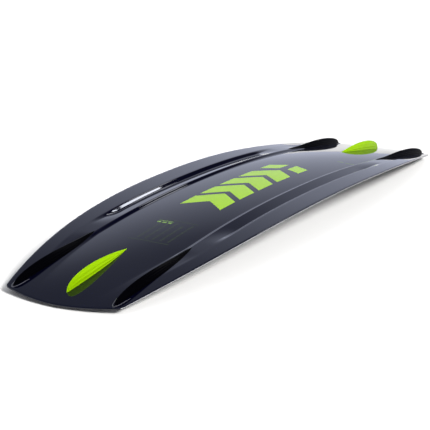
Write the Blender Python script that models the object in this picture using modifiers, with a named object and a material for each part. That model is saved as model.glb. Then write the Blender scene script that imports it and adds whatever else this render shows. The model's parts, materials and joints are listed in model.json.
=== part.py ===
"""A twin-tip wakeboard of 138 x 43 cm, lying deck down on its two tips, so that its base faces up.

X runs along the board (the nose at +X), Y across it, and Z up out of the base. The origin is on the
surface that the tips stand on, under the middle of the board. Lengths are in metres.

The board is a pressed sandwich: base sheet, glass laminate, a foam core with two stringers and blocks for
the fasteners, glass laminate and deck sheet, with a rail round it. Four black fins are bonded to the base,
and a green fin at each tip is held by two screws that go through the board from the deck.
"""

import math

import bmesh
import bpy
from mathutils import Matrix, Vector

# Driving dimensions of the outline, seen from above.
LENGTH = 1.380
WIDTH = 0.426
CORNER_X = 0.662          # where the side outline ends and the tip begins
CORNER_Y = 0.135
CORNER_RADIUS = 0.006
SIDE_POWER = 2.62
TIP_POWER = 1.87
TIP_BOW = LENGTH / 2 - CORNER_X

# Rocker: how the base falls from the middle to the tips.
ROCKER = 0.0696
ROCKER_POWER = 2.12

# Thickness from base to deck.
EDGE_THICKNESS = 0.0045
MIDDLE_THICKNESS = 0.017
FIN_THICKNESS = 0.011     # where the screws of the centre fin go through, less the panel's crown
TIP_THICKNESS = 0.008
SIDE_BEVEL = 0.034        # the least width of the deck's bevel along the sides
TIP_BEVEL = 0.030         # and at the tips
PLATFORM = (0.17, 0.39)   # the deck is one flat plane here, under each binding

# The base's cross-section: a crowned panel, a spine beside it, a channel and the flat rail band.
# Each knot is a distance from the centreline.
SPINE_FOOT = 0.106
SPINE_CREST = 0.116
CHANNEL_BOTTOM = 0.146
CHANNEL_EDGE = 0.158
PANEL_CROWN = 0.0004
FOOT_DEPTH = 0.0042
CREST_DEPTH = 0.0004
CHANNEL_DEPTH = 0.0058

# The layers, from the base down to the deck, and the rail round them.
GAP = 0.0003
BASE_SHEET = 0.0010
GLASS = 0.0008
DECK_SHEET = 0.0008
RAIL_WIDTH = 0.012
RAIL_CHAMFER = 0.005
STRINGER = (0.0303, 0.0360)

# The inserts for the bindings' screws, and the blocks in the core round them.
STANCE = 0.280            # the middle of each binding, from the middle of the board
INSERT_ROW = 0.0762       # half of the 6 inches between the two rows
INSERT_PITCH = 0.0254
INSERTS_PER_ROW = 5
INSERT_RADIUS = 0.0050
INSERT_BORE = 0.0025
INSERT_LENGTH = 0.0095
INSERT_FLOOR = 0.0010
BLOCK_HEIGHT = 0.0080
BLOCK_HALF_WIDTH = 0.018

# The centre fin's screws, washers and nuts, and the block in the core round them.
SCREW_X = (0.520, 0.585)
SCREW_RADIUS = 0.0028
HEAD_RADIUS = 0.0058
HEAD_HEIGHT = 0.0034
HEAD_CHAMFER = 0.0017
SOCKET_RADIUS = 0.0021
SOCKET_DEPTH = 0.0022
WASHER_RADIUS = 0.0078
WASHER_THICKNESS = 0.0012
NUT_RADIUS = 0.0036
NUT_LENGTH = 0.0055
NUT_START = FIN_THICKNESS + PANEL_CROWN + 2 * GAP   # measured up from the deck
FIN_BLOCK = (0.505, 0.600)
FIN_BLOCK_HALF_WIDTH = 0.013

CLEARANCE = 0.0004        # round a fastener in its hole
OVERCUT = 0.004           # how far a cutter runs past what it cuts
ROUND_SIDES = 10

# Fins.
CENTRE_FIN = (0.450, 0.647)
CENTRE_FIN_HEIGHT = 0.0215
CENTRE_FIN_HALF_WIDTH = 0.0072
SIDE_FIN = (0.396, 0.659)
SIDE_FIN_Y = 0.118
SIDE_FIN_HEIGHT = 0.0150
SIDE_FIN_HALF_WIDTH = 0.0150
FIN_ROOT = 0.010          # how far the fins are drawn below the base before it is cut away from them

HALF_TURN = Matrix.Rotation(math.pi, 4, "Z")
SIDES = ((1, "left"), (-1, "right"))
OPPOSITE = {"left": "right", "right": "left"}   # a piece on the left at the nose is on the right at the tail

# Where the grid lines of the board's plan run, along a half length.
ROWS = (0.0, 0.085, 0.17, 0.28, 0.39, 0.45, *FIN_BLOCK, CORNER_X - TIP_BEVEL)


def clear_scene():
    for obj in list(bpy.data.objects):
        bpy.data.objects.remove(obj)


def fade(x, start, end):
    """1 up to start, 0 beyond end, and a smooth step between them."""
    t = min(max((abs(x) - start) / (end - start), 0.0), 1.0)
    return 1 - t * t * (3 - 2 * t)


def between(x, points):
    """Straight lines through (x, value) points in rising order of x."""
    for (x0, v0), (x1, v1) in zip(points, points[1:]):
        if x <= x1:
            return v0 + (v1 - v0) * (x - x0) / (x1 - x0)
    return points[-1][1]


# ---- The board's shape -------------------------------------------------------------------------------

def half_width(x):
    share = min(abs(x) / CORNER_X, 1.0)
    return WIDTH / 2 - (WIDTH / 2 - CORNER_Y) * share**SIDE_POWER


def squeeze(x):
    """How much the lines on the base draw in towards the centreline where the board narrows."""
    return min(1.0, (half_width(x) - SIDE_BEVEL) / CHANNEL_EDGE)


def rocker(x):
    return ROCKER * (1 - (min(abs(x) / (LENGTH / 2), 1.0)) ** ROCKER_POWER)


def section(x, y):
    """Height of the base over the rail band, at a place along the board."""
    s = abs(y) / squeeze(x)
    foot = FOOT_DEPTH * fade(x, 0.36, 0.655)
    on_chord = foot * (CHANNEL_EDGE - SPINE_CREST) / (CHANNEL_EDGE - SPINE_FOOT)
    spine = fade(x, 0.41, 0.47)
    crest = CREST_DEPTH * spine + on_chord * (1 - spine)
    channel = fade(x, 0.27, 0.37)
    level = crest * (CHANNEL_EDGE - CHANNEL_BOTTOM) / (CHANNEL_EDGE - SPINE_CREST)
    bottom = CHANNEL_DEPTH * channel + level * (1 - channel)
    if s < SPINE_FOOT:
        crown = PANEL_CROWN * fade(x, 0.60, 0.68)
        return crown - (foot + crown) * (s / SPINE_FOOT) ** 2
    return -between(s, [(SPINE_FOOT, foot), (SPINE_CREST, crest), (CHANNEL_BOTTOM, bottom),
                        (CHANNEL_EDGE, 0.0), (1.0, 0.0)])


def base(x, y):
    return EDGE_THICKNESS + rocker(x) + section(x, y)


def full_thickness(x):
    fins = (MIDDLE_THICKNESS - FIN_THICKNESS) * fade(x, PLATFORM[1], 0.48)
    tips = (FIN_THICKNESS - TIP_THICKNESS) * fade(x, 0.61, LENGTH / 2)
    return TIP_THICKNESS + tips + fins


def deck_line(x):
    """Height of the deck along the centreline. It is straight under a binding and under a fin's screws."""
    def curve(at):
        return EDGE_THICKNESS + rocker(at) - full_thickness(at)
    for low, high in (PLATFORM, FIN_BLOCK):
        if low <= abs(x) <= high:
            return between(abs(x), [(low, curve(low)), (high, curve(high))])
    return curve(x)


def deck(x, y):
    """Height of the deck's outer face, bevelled up to the edge from over the channel's edge outwards."""
    width = half_width(x)
    tip = LENGTH / 2 - TIP_BOW * min(abs(y) / width, 1.0) ** TIP_POWER
    side = (width - abs(y)) / (width - squeeze(x) * CHANNEL_EDGE)
    bevel = fade(min(side, (tip - abs(x)) / TIP_BEVEL), 0.0, 1.0)
    return rocker(x) * bevel + deck_line(x) * (1 - bevel)


def plan(xs, y):
    """The point of the plan on the row at xs, at y before the tip's bow and the rounded corners."""
    side = math.copysign(1.0, xs)
    along, across, width = abs(xs), abs(y), half_width(xs)
    a = 1 - (CORNER_X - along) / CORNER_RADIUS
    b = 1 - (width - across) / CORNER_RADIUS
    if a > 0 and b > 0:
        along = CORNER_X - CORNER_RADIUS * (1 - a * math.sqrt(1 - b * b / 2))
        across = width - CORNER_RADIUS * (1 - b * math.sqrt(1 - a * a / 2))
    bow = TIP_BOW * (1 - (across / width) ** TIP_POWER) * (1 - fade(along, 0.60 * CORNER_X, CORNER_X))
    return side * (along + bow), math.copysign(across, y)


# ---- Materials and mesh helpers ----------------------------------------------------------------------

def material(name, colour, roughness, metallic=0.0):
    made = bpy.data.materials.new(name)
    made.use_nodes = True
    shader = made.node_tree.nodes["Principled BSDF"]
    shader.inputs["Base Color"].default_value = (*colour, 1.0)
    shader.inputs["Roughness"].default_value = roughness
    shader.inputs["Metallic"].default_value = metallic
    return made


def add(name, bm, paint, smooth_degrees=30.0):
    bmesh.ops.recalc_face_normals(bm, faces=bm.faces)
    mesh = bpy.data.meshes.new(name)
    bm.to_mesh(mesh)
    bm.free()
    mesh.shade_smooth()
    mesh.set_sharp_from_angle(angle=math.radians(smooth_degrees))
    mesh.materials.append(paint)
    obj = bpy.data.objects.new(name, mesh)
    PARTS.objects.link(obj)
    return obj


def turned_about(name, obj):
    """The same piece at the tail: half a turn about Z."""
    copy = bpy.data.objects.new(name, obj.data)
    copy.rotation_euler.z = math.pi
    PARTS.objects.link(copy)
    cut(copy, *(TAIL_CUTTERS[modifier.object.name] for modifier in obj.modifiers))


def slab(rows, columns, top, bottom):
    """A grid on the board's plan between two surfaces. rows are places along X, and columns(x) gives the
    places along Y on a row."""
    across = len(columns(0.0)) - 1
    bm = bmesh.new()
    bmesh.ops.create_grid(bm, x_segments=len(rows) - 1, y_segments=across, size=1.0)
    bmesh.ops.triangulate(bm, faces=bm.faces, quad_method="FIXED")
    lower = bmesh.ops.extrude_face_region(bm, geom=bm.faces[:])["geom"]
    lower = {v for v in lower if isinstance(v, bmesh.types.BMVert)}
    for vert in bm.verts:
        row = round((vert.co.x + 1) / 2 * (len(rows) - 1))
        column = round((vert.co.y + 1) / 2 * across)
        x, y = plan(rows[row], columns(rows[row])[column])
        vert.co = (x, y, bottom(x, y) if vert in lower else top(x, y))
    return bm


def loft(rings):
    """A solid through closed rings of points, one ring a section, with flat ends."""
    bm = bmesh.new()
    loops = [[bm.verts.new(point) for point in ring] for ring in rings]
    for one, two in zip(loops, loops[1:]):
        for k in range(len(one)):
            bm.faces.new((one[k - 1], one[k], two[k], two[k - 1]))
    bm.faces.new(loops[0])
    bm.faces.new(loops[-1])
    return bm


def turned(kind, where, profile, place, paint):
    """A piece turned about its own Z axis. The profile runs from the top down, as (radius, height) points.
    Every piece of a kind shares one mesh."""
    mesh = bpy.data.meshes.get(kind) or profile_mesh(kind, profile, paint)
    obj = bpy.data.objects.new(f"{kind}_{where}", mesh)
    obj.matrix_world = place
    screw = obj.modifiers.new("turn", "SCREW")
    screw.axis = "Z"
    screw.angle = 2 * math.pi
    screw.steps = screw.render_steps = ROUND_SIDES
    screw.use_merge_vertices = True
    screw.merge_threshold = 0.00001
    PARTS.objects.link(obj)


def profile_mesh(name, points, paint):
    mesh = bpy.data.meshes.new(name)
    ends = [(k, k + 1) for k in range(len(points) - 1)]
    if points[0][0] > 0:
        ends.append((len(points) - 1, 0))
    mesh.from_pydata([(radius, 0.0, height) for radius, height in points], ends, [])
    mesh.materials.append(paint)
    return mesh


def rods(name, places, radius, low, high):
    """A cutter of one or more cylinders along each place's Z axis."""
    bm = bmesh.new()
    for place in places:
        middle = place @ Matrix.Translation((0, 0, (low + high) / 2))
        bmesh.ops.create_cone(bm, cap_ends=True, segments=ROUND_SIDES, radius1=radius, radius2=radius,
                              depth=high - low, matrix=middle)
    return cutter(name, bm)


def cutter(name, bm):
    """A cutter at the nose, with its copy at the tail."""
    bmesh.ops.recalc_face_normals(bm, faces=bm.faces)
    mesh = bpy.data.meshes.new(name)
    bm.to_mesh(mesh)
    bm.free()
    nose, tail = bpy.data.objects.new(name, mesh), bpy.data.objects.new(f"{name}_tail", mesh)
    tail.rotation_euler.z = math.pi
    for obj in (nose, tail):
        obj.hide_render = True
        obj.display_type = "WIRE"
        CUTTERS.objects.link(obj)
    TAIL_CUTTERS[name] = tail
    return nose


def cut(obj, *cutters):
    for number, tool in enumerate(cutters):
        modifier = obj.modifiers.new(f"cut_{number}", "BOOLEAN")
        modifier.operation = "DIFFERENCE"
        modifier.solver = "EXACT"
        modifier.object = tool


def cut_both_ends(obj, *cutters):
    cut(obj, *cutters, *(TAIL_CUTTERS[tool.name] for tool in cutters))


# ---- Where things are --------------------------------------------------------------------------------

def both_ways(half):
    """A half list of rising places, mirrored about 0."""
    return [-place for place in reversed(half) if place > 0] + list(half)


def columns(x, last):
    """The lines that every layer shares, from the centreline out, ending with those in last, which are
    distances in from the outline."""
    lines = [squeeze(x) * line for line in (SPINE_FOOT, SPINE_CREST, CHANNEL_BOTTOM, CHANNEL_EDGE)]
    return [0.0, STRINGER[0], *lines, *(half_width(x) - inset for inset in last)]


def along_normal(x, y, height, slope):
    """A place at (x, y, height) whose Z axis is the normal of a surface that rises by slope along X."""
    z = Vector((-slope, 0, 1)).normalized()
    x_axis = Vector((1, 0, slope)).normalized()
    turn = Matrix((x_axis, z.cross(x_axis), z)).transposed().to_4x4()
    return Matrix.Translation((x, y, height)) @ turn


def deck_slope(low, high):
    return (deck_line(high) - deck_line(low)) / (high - low)


def insert_places(row_y):
    """The binding inserts of one row at the nose, on the deck's face and pointing into the board."""
    first = STANCE - INSERT_PITCH * (INSERTS_PER_ROW - 1) / 2
    spots = [first + INSERT_PITCH * k for k in range(INSERTS_PER_ROW)]
    return [along_normal(x, row_y, deck_line(x), deck_slope(*PLATFORM)) for x in spots]


def screw_places():
    """The centre fin's screws at the nose, on the deck's face and square to it."""
    return [along_normal(x, 0.0, deck_line(x), deck_slope(*FIN_BLOCK)) for x in SCREW_X]


# ---- The pieces of the board -------------------------------------------------------------------------

def inner_rows():
    """Rows of everything inside the rail."""
    return both_ways(ROWS + (CORNER_X - RAIL_WIDTH - GAP,))


def under_base(depth):
    return lambda x, y: base(x, y) - depth


def over_deck(height):
    return lambda x, y: deck(x, y) + height


CORE_TOP = under_base(BASE_SHEET + GLASS + 2 * GAP)
CORE_BOTTOM = over_deck(DECK_SHEET + GLASS + 2 * GAP)


def sheet_slab(top, bottom):
    """A slab over the whole outline."""
    rows = both_ways(ROWS + (CORNER_X - RAIL_WIDTH, CORNER_X - RAIL_CHAMFER, CORNER_X))
    return slab(rows, lambda x: both_ways(columns(x, (RAIL_WIDTH, RAIL_CHAMFER, 0.0))), top, bottom)


def make_base_sheet(paint, screw_holes):
    sheet = add("base_sheet", sheet_slab(base, under_base(BASE_SHEET)), paint)
    cut_both_ends(sheet, screw_holes)


def make_layers(glass, skin, screw_holes, insert_holes):
    """The two glass laminates and the deck sheet, all inside the rail."""
    def across(x):
        return both_ways(columns(x, (RAIL_WIDTH + GAP,)))

    upper, lower = BASE_SHEET + GAP, DECK_SHEET + GAP
    laminate = slab(inner_rows(), across, under_base(upper), under_base(upper + GLASS))
    cut_both_ends(add("base_glass_laminate", laminate, glass), screw_holes)
    laminate = slab(inner_rows(), across, over_deck(lower + GLASS), over_deck(lower))
    cut_both_ends(add("deck_glass_laminate", laminate, glass), screw_holes, insert_holes)
    sheet = slab(inner_rows(), across, over_deck(DECK_SHEET), deck)
    cut_both_ends(add("deck_sheet", sheet, skin), screw_holes, insert_holes)


def make_core(foam, wood, block_pockets, fin_pocket):
    middle = slab(inner_rows(), lambda x: both_ways([0.0, STRINGER[0] - GAP]), CORE_TOP, CORE_BOTTOM)
    cut_both_ends(add("core_centre", middle, foam), fin_pocket)
    for side, name in SIDES:
        def core_columns(x, side=side):
            return sorted(side * y for y in (STRINGER[1] + GAP, *columns(x, (RAIL_WIDTH + GAP,))[2:]))

        def stringer_columns(x, side=side):
            return sorted(side * y for y in STRINGER)

        strip = slab(inner_rows(), core_columns, CORE_TOP, CORE_BOTTOM)
        opposite_pocket = TAIL_CUTTERS[block_pockets[OPPOSITE[name]].name]
        cut(add(f"core_{name}", strip, foam), block_pockets[name], opposite_pocket)
        add(f"stringer_{name}", slab(inner_rows(), stringer_columns, CORE_TOP, CORE_BOTTOM), wood)


def make_rails(paint):
    top = under_base(BASE_SHEET + GAP)
    for side, name in SIDES:
        def across(x, side=side):
            return sorted(side * (half_width(x) - inset) for inset in (RAIL_WIDTH, RAIL_CHAMFER, 0.0))

        add(f"rail_{name}", slab(inner_rows(), across, top, deck), paint)

    def tip_columns(x):
        return both_ways(columns(x, (RAIL_WIDTH, RAIL_CHAMFER, 0.0)))

    rows = [CORNER_X - RAIL_WIDTH, CORNER_X - RAIL_CHAMFER, CORNER_X]
    tip = add("tip_edge_nose", slab(rows, tip_columns, top, deck), paint)
    turned_about("tip_edge_tail", tip)


def insert_block(side, clearance=0.0):
    """The block round one row of inserts, on the deck side of the core. With a clearance it is the pocket's
    cutter, which also runs out through the core's lower face."""
    reach = INSERT_PITCH * INSERTS_PER_ROW / 2 + clearance
    half = BLOCK_HALF_WIDTH + clearance
    rows = [STANCE - reach, STANCE + reach]
    below = OVERCUT if clearance else 0.0
    return slab(rows, lambda x: [side * INSERT_ROW - half, side * INSERT_ROW + half],
                lambda x, y: CORE_BOTTOM(x, y) + BLOCK_HEIGHT + clearance,
                lambda x, y: CORE_BOTTOM(x, y) - below)


def fin_block(clearance=0.0):
    """The block that the fin's screws go through, as deep as the core."""
    rows = [FIN_BLOCK[0] - clearance, FIN_BLOCK[1] + clearance]
    half = FIN_BLOCK_HALF_WIDTH + clearance
    over = OVERCUT if clearance else 0.0
    return slab(rows, lambda x: [-half, 0.0, half], lambda x, y: CORE_TOP(x, y) + over,
                lambda x, y: CORE_BOTTOM(x, y) - over)


def make_blocks(paint, screw_holes, row_holes):
    for side, name in SIDES:
        block = add(f"insert_block_nose_{name}", insert_block(side), paint)
        cut(block, row_holes[name])
        turned_about(f"insert_block_tail_{OPPOSITE[name]}", block)
    block = add("fin_block_nose", fin_block(), paint)
    cut(block, screw_holes)
    turned_about("fin_block_tail", block)


def make_inserts(brass):
    """Blind threaded inserts for the bindings' screws, flush with the deck."""
    bore_end = INSERT_LENGTH - INSERT_FLOOR
    profile = ((0.0, INSERT_LENGTH), (INSERT_RADIUS, INSERT_LENGTH), (INSERT_RADIUS, 0.0),
               (INSERT_BORE, 0.0), (INSERT_BORE, bore_end), (0.0, bore_end))
    for side, name in SIDES:
        for number, place in enumerate(insert_places(side * INSERT_ROW), 1):
            turned("binding_insert", f"nose_{name}_{number}", profile, place, brass)
            turned("binding_insert", f"tail_{OPPOSITE[name]}_{number}", profile, HALF_TURN @ place, brass)


def make_fin_fasteners(steel, brass):
    """Screws and washers on the deck, and the nuts in the fin."""
    washer_face = -GAP - WASHER_THICKNESS
    seat = washer_face - GAP
    face = seat - HEAD_HEIGHT
    nut_end = NUT_START + NUT_LENGTH
    hole = SCREW_RADIUS + CLEARANCE
    screw = ((0.0, nut_end - GAP), (SCREW_RADIUS, nut_end - GAP), (SCREW_RADIUS, seat), (HEAD_RADIUS, seat),
             (HEAD_RADIUS, face + HEAD_CHAMFER), (HEAD_RADIUS - HEAD_CHAMFER, face), (SOCKET_RADIUS, face),
             (SOCKET_RADIUS, face + SOCKET_DEPTH), (0.0, face + SOCKET_DEPTH))
    washer = ((WASHER_RADIUS, -GAP), (WASHER_RADIUS, washer_face), (hole, washer_face), (hole, -GAP))
    nut = ((NUT_RADIUS, nut_end), (NUT_RADIUS, NUT_START), (hole, NUT_START), (hole, nut_end))
    kinds = (("fin_screw", screw, steel), ("fin_washer", washer, steel), ("fin_nut", nut, brass))
    for number, place in enumerate(screw_places(), 1):
        for kind, profile, paint in kinds:
            turned(kind, f"nose_{number}", profile, place, paint)
            turned(kind, f"tail_{number}", profile, HALF_TURN @ place, paint)


# ---- Fins --------------------------------------------------------------------------------------------

def fin_profile(share, rise, drop):
    """Height of a fin as a share of its greatest, from its inner end (0) to its outer end (1)."""
    peak = rise / (rise + drop)
    greatest = peak**rise * (1 - peak) ** drop
    return share**rise * (1 - share) ** drop / greatest


def centre_fin(paint, nut_pockets, base_cutter):
    """A blade like half a leaf: long and low towards the middle of the board, steep at the tip."""
    start, end = CENTRE_FIN
    rings = []
    for share in (0.0, 0.06, 0.18, 0.34, 0.50, 0.66, 0.79, 0.89, 0.96, 1.0):
        x = start + (end - start) * share
        height = CENTRE_FIN_HEIGHT * fin_profile(share, 0.90, 0.36) + 0.0012
        half = CENTRE_FIN_HALF_WIDTH * math.sin(math.pi * share**0.9) ** 0.75 + 0.0005
        foot = base(x, 0.0)
        wall = [(half, foot - FIN_ROOT), (half, foot + GAP)]
        wall += [(half * (1 - level**1.9) + 0.0002, foot + height * level) for level in (0.35, 0.65, 0.9)]
        ring = wall + [(0.0, foot + height)] + [(-y, z) for y, z in reversed(wall)]
        rings.append([(x, y, z) for y, z in ring])
    fin = add("centre_fin_nose", loft(rings), paint)
    cut(fin, base_cutter, nut_pockets)
    turned_about("centre_fin_tail", fin)


def side_fin(side, name, paint, base_cutter):
    """A long mound with a knuckle along each face, which grows out of the spine towards the tip."""
    start, end = SIDE_FIN
    rings = []
    for share in (0.0, 0.07, 0.20, 0.36, 0.52, 0.68, 0.80, 0.90, 0.96, 1.0):
        x = start + (end - start) * share
        height = SIDE_FIN_HEIGHT * fin_profile(share, 1.25, 0.42) + 0.0012
        half = SIDE_FIN_HALF_WIDTH * math.sin(math.pi * share**0.95) ** 0.6 + 0.0010
        foot = base(x, SIDE_FIN_Y)
        ring = [(x, side * (SIDE_FIN_Y + half * across), foot - FIN_ROOT) for across in (-1.0, 1.0)]
        for across, level in ((1.0, 0.06), (0.60, 0.50), (0.22, 0.90), (0.0, 1.0), (-0.22, 0.90),
                              (-0.60, 0.50), (-1.0, 0.06)):
            y = side * (SIDE_FIN_Y + half * across)
            ring.append((x, y, (foot if abs(across) < 0.9 else base(x, y)) + GAP + height * level))
        rings.append(ring)
    fin = add(f"side_fin_nose_{name}", loft(rings), paint)
    cut(fin, base_cutter)
    turned_about(f"side_fin_tail_{OPPOSITE[name]}", fin)


def main():
    base_plastic = material("base_plastic", (0.012, 0.013, 0.020), 0.12)
    deck_plastic = material("deck_plastic", (0.018, 0.019, 0.026), 0.45)
    rail_plastic = material("rail_plastic", (0.62, 0.62, 0.60), 0.35)
    glass = material("glass_laminate", (0.55, 0.60, 0.52), 0.40)
    foam = material("core_foam", (0.80, 0.76, 0.62), 0.90)
    wood = material("stringer_wood", (0.55, 0.38, 0.20), 0.65)
    block = material("insert_block", (0.70, 0.68, 0.60), 0.60)
    brass = material("brass", (0.72, 0.52, 0.22), 0.30, 1.0)
    steel = material("stainless_steel", (0.62, 0.63, 0.64), 0.28, 1.0)
    black_fin = material("side_fin_plastic", (0.004, 0.004, 0.006), 0.15)
    green_fin = material("centre_fin_plastic", (0.33, 0.62, 0.005), 0.25)

    row_places = {name: insert_places(side * INSERT_ROW) for side, name in SIDES}
    through = NUT_START + OVERCUT
    insert_hole = INSERT_RADIUS + CLEARANCE
    screw_holes = rods("screw_hole_cutter", screw_places(), SCREW_RADIUS + CLEARANCE, -OVERCUT, through)
    nut_pockets = rods("nut_pocket_cutter", screw_places(), NUT_RADIUS + CLEARANCE, NUT_START - OVERCUT,
                       NUT_START + NUT_LENGTH + CLEARANCE)
    row_holes = {name: rods(f"row_hole_cutter_{name}", places, insert_hole, -OVERCUT, through)
                 for name, places in row_places.items()}
    insert_holes = rods("deck_hole_cutter", row_places["left"] + row_places["right"], insert_hole,
                        -OVERCUT, OVERCUT)
    pockets = {name: cutter(f"block_pocket_cutter_{name}", insert_block(side, GAP)) for side, name in SIDES}
    fin_pocket = cutter("fin_pocket_cutter", fin_block(GAP))
    base_cutter = cutter("base_cutter", sheet_slab(under_base(-GAP), under_base(2 * FIN_ROOT)))

    make_base_sheet(base_plastic, screw_holes)
    make_layers(glass, deck_plastic, screw_holes, insert_holes)
    make_core(foam, wood, pockets, fin_pocket)
    make_rails(rail_plastic)
    make_blocks(block, screw_holes, row_holes)
    make_inserts(brass)
    make_fin_fasteners(steel, brass)
    centre_fin(green_fin, nut_pockets, base_cutter)
    side_fin(1, "left", black_fin, base_cutter)
    side_fin(-1, "right", black_fin, base_cutter)


clear_scene()
PARTS = bpy.data.collections.new("wakeboard")
CUTTERS = bpy.data.collections.new("cutters")
bpy.context.scene.collection.children.link(PARTS)
bpy.context.scene.collection.children.link(CUTTERS)
TAIL_CUTTERS = {}
main()
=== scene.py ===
"""The looks of the wakeboard: fine surfaces, materials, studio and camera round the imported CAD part.

The board lies deck down on its tips, so its base faces up. X runs along it, Y across, Z up, in metres.
"""

import json
import math

import bmesh
import bpy
from mathutils import Matrix, Vector

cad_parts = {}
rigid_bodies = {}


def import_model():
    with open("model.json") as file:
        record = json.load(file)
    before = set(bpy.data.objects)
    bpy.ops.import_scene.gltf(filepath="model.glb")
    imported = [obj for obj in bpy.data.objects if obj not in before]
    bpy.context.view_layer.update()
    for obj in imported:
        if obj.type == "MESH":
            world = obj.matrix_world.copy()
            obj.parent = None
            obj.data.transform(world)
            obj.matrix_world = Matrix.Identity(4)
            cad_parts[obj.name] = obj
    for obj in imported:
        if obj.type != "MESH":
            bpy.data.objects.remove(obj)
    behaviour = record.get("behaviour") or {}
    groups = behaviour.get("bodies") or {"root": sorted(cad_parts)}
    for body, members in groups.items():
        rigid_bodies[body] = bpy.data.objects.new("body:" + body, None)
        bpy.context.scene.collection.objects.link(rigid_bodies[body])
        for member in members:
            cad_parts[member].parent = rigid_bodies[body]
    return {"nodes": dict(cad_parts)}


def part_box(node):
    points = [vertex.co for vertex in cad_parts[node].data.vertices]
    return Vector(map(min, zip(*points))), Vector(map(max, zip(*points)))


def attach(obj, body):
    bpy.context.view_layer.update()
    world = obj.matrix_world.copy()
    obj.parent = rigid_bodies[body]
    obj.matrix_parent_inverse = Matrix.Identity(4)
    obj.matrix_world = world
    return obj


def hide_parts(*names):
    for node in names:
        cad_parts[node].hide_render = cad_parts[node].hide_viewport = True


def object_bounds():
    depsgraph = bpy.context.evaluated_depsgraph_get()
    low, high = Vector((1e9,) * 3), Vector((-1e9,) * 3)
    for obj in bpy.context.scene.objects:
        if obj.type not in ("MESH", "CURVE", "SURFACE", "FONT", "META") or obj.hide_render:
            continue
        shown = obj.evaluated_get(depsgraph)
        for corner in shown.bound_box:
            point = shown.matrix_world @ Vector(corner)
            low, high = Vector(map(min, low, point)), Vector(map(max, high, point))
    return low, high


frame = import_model()
cad_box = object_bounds()

# ---- Driving dimensions, from the frame and as in the CAD ----------------------------------------------

LENGTH = cad_box[1].x - cad_box[0].x
WIDTH = cad_box[1].y - cad_box[0].y
HALF_LENGTH = LENGTH / 2

CORNER_X = 0.662
CORNER_Y = 0.135
CORNER_RADIUS = 0.006
SIDE_POWER = 2.62
TIP_POWER = 1.87
TIP_BOW = HALF_LENGTH - CORNER_X

ROCKER = 0.0696
ROCKER_POWER = 2.12

EDGE_THICKNESS = 0.0045
MIDDLE_THICKNESS = 0.017
FIN_THICKNESS = 0.011
TIP_THICKNESS = 0.008
SIDE_BEVEL = 0.034
TIP_BEVEL = 0.030
PLATFORM = (0.17, 0.39)       # flats of the deck under the bindings and under the fin screws, along X
FIN_FLAT = (0.505, 0.600)
MIDDLE_FADE = (0.39, 0.48)    # where each part of the shape starts and stops fading out, along X
TIP_FADE = (0.61, HALF_LENGTH)
CROWN_FADE = (0.60, 0.68)
FOOT_FADE = (0.36, 0.655)
CREST_FADE = (0.41, 0.47)
CHANNEL_FADE = (0.27, 0.37)
BOW_FADE = (0.60 * CORNER_X, CORNER_X)

SPINE_FOOT = 0.106
SPINE_CREST = 0.116
CHANNEL_BOTTOM = 0.146
CHANNEL_EDGE = 0.158
PANEL_CROWN = 0.0004
FOOT_DEPTH = 0.0042
CREST_DEPTH = 0.0004
CHANNEL_DEPTH = 0.0058
WALL_CURVE = 0.5          # how far the walls of spine and channel are S-shaped rather than straight
FILLET = 0.0009           # half the width over which a line on the base is rounded

DECK_SKIN = 0.00054       # thickness of the drawn deck sheet
CLOSE_ROWS = 0.60         # from where the rows of the drawn skins are closer together, along X
RAIL_WIDTH = 0.012
RIM_ROUND = 0.0011        # round at the rim of the base sheet
RIM_LIP = 0.0003          # how far the base sheet reaches down past its round
BAND_FOOT = 0.0027        # how far the pale band of the rail reaches under the base
BAND_BACK = 0.0020        # how far the band and the foot reach in behind their faces
EDGE_SEAM = 0.0001        # the joint between two pieces of the edge
FOOT_INSET = 0.0007       # how far the foot of the rail stands back from the band
FOOT_ROUND = 0.0024
PRINT = 0.00010           # how far a print stands off the base

# A fin: its ends along X, how its height rises from the inner end and drops at the outer end, how its
# plan leans and fills, the number and depth of its flutes, and how round its faces are.
CENTRE_FIN = (0.450, 0.647)
CENTRE_FIN_HEIGHT = 0.0215
CENTRE_FIN_HALF_WIDTH = 0.0072
CENTRE_FIN_CURVE = (0.98, 0.36)
CENTRE_FIN_PLAN = (0.9, 0.75)
CENTRE_FIN_FACE = (3, 0.10, 1.9)
SIDE_FIN = (0.396, 0.659)
SIDE_FIN_Y = 0.118
SIDE_FIN_HEIGHT = 0.0152
SIDE_FIN_HALF_WIDTH = 0.0150
SIDE_FIN_CURVE = (1.20, 0.36)
SIDE_FIN_PLAN = (0.95, 0.6)
SIDE_FIN_FACE = (4, 0.09, 1.35)
FIN_ROWS = 56
FIN_LEVELS = 27
FIN_TRIM = (0.002, 0.9985)    # where the end rings of a fin are, as shares of it, so that they keep a width
FIN_SINK = 0.0004         # how far a fin's foot is sunk in the base
SEAT_REACH = 0.13         # how far the raised line runs back along a side fin, as a share of the fin
SEAT_BEND = 1.6           # how quickly the line turns back
SEAT_FRONT = 0.25         # share of the line that passes in front of the fin's end
SEAT_GAP = 0.0042
SEAT_BEAD = 0.0010
BEAD_TAPER = 8            # points over which a bead thins out at its ends

HOLE_REACH = 0.02         # how far a cutter for a hole in the deck reaches past the sheet
INSERT_RADIUS = 0.0050
INSERT_BORE = 0.0025
INSERT_LENGTH = 0.0095
INSERT_FLOOR = 0.0010
INSERT_THREADS = 9
SCREW_RADIUS = 0.0028
SCREW_REACH = 0.012       # how far a screw is drawn into the board
SCREW_HOLE = 0.0032
HEAD_RADIUS = 0.0058
HEAD_HEIGHT = 0.0034
HEAD_RIM = 0.0012         # height of the straight rim under the dome
HEAD_DOME = 0.0026
SOCKET_RADIUS = 0.0022
SOCKET_DEPTH = 0.0021
SOCKET_BEVEL = 0.0002
WASHER_RADIUS = 0.0078
WASHER_THICKNESS = 0.0012
WASHER_BEVEL = 0.0003

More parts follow.
